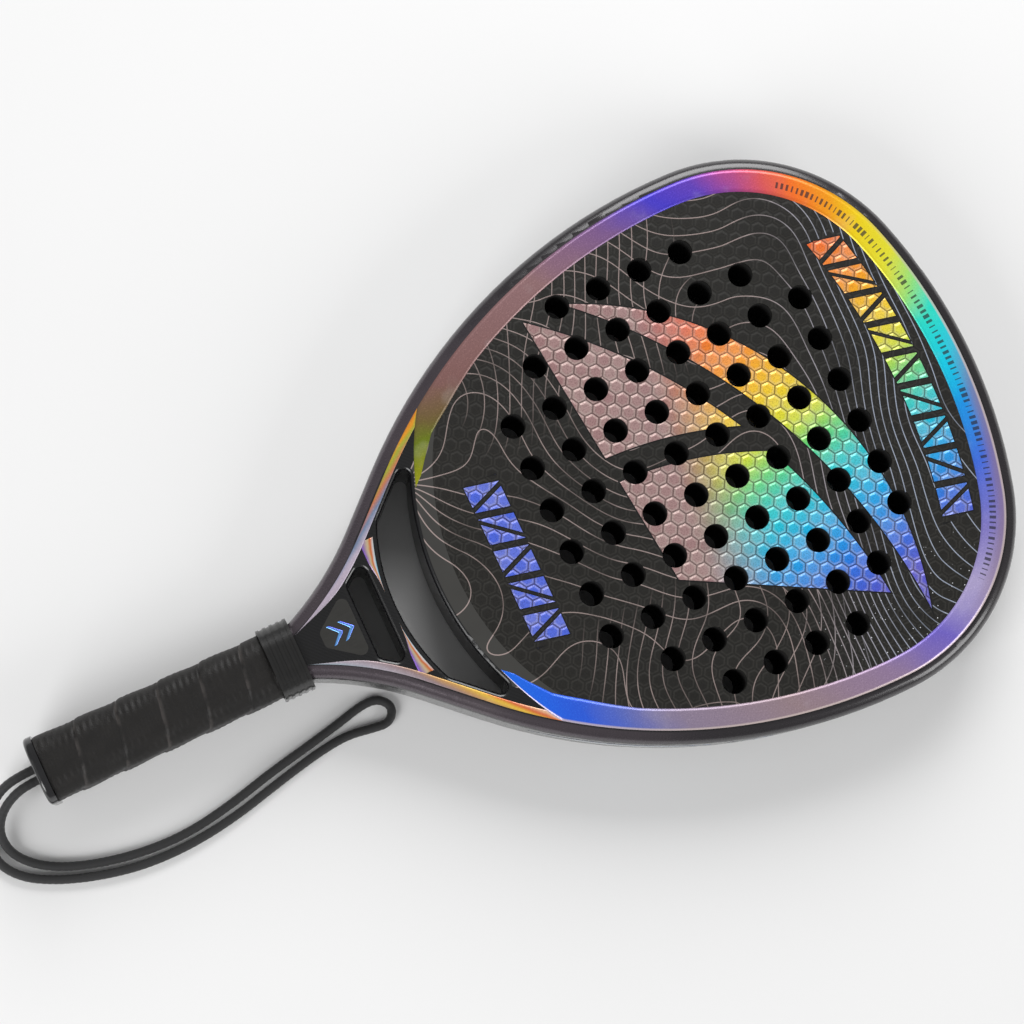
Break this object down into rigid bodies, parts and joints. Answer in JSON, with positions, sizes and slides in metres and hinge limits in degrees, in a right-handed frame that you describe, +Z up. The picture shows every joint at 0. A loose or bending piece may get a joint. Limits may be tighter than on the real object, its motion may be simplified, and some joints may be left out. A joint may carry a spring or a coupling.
{
  "type": "padel racket",
  "caption": "Padel racket with a perforated foam-cored face, a moulded open throat, a wrapped grip and a doubled wrist cord out of the butt, lying face up.",
  "frame": {"origin": "on the surface the racket lies on, under the middle of the racket's length and width without its cord", "axes": "+X along the racket from the butt to the tip, +Y across it to the left seen from above, +Z up out of the front face"},
  "size_m": [0.4899, 0.2554, 0.038],
  "materials": {
    "carbon_gloss": "gloss",
    "iridescent_foil": "gloss",
    "face_carbon": "satin",
    "badge_inlay": "satin",
    "core_foam": "matte",
    "grip_wrap": "matte",
    "black_rubber": "satin",
    "cap_plastic": "gloss",
    "cord_fabric": "matte"
  },
  "bodies": {
    "root": {"frame_tube": "carbon_gloss", "rim_foam": "core_foam", "rim_foil_front": "iridescent_foil", "rim_foil_back": "iridescent_foil", "core_slab": "core_foam", "front_face": "face_carbon", "back_face": "face_carbon", "throat_bow": "carbon_gloss", "control_bar": "carbon_gloss", "throat_web": "carbon_gloss", "badge_front": "badge_inlay", "badge_back": "badge_inlay", "handle_pallet": "carbon_gloss", "handle_foam": "core_foam", "base_grip": "grip_wrap", "overgrip": "grip_wrap", "grip_collar": "black_rubber", "butt_cap": "cap_plastic", "cord_knot": "cord_fabric", "wrist_cord": "cord_fabric"}
  },
  "joints": []
}
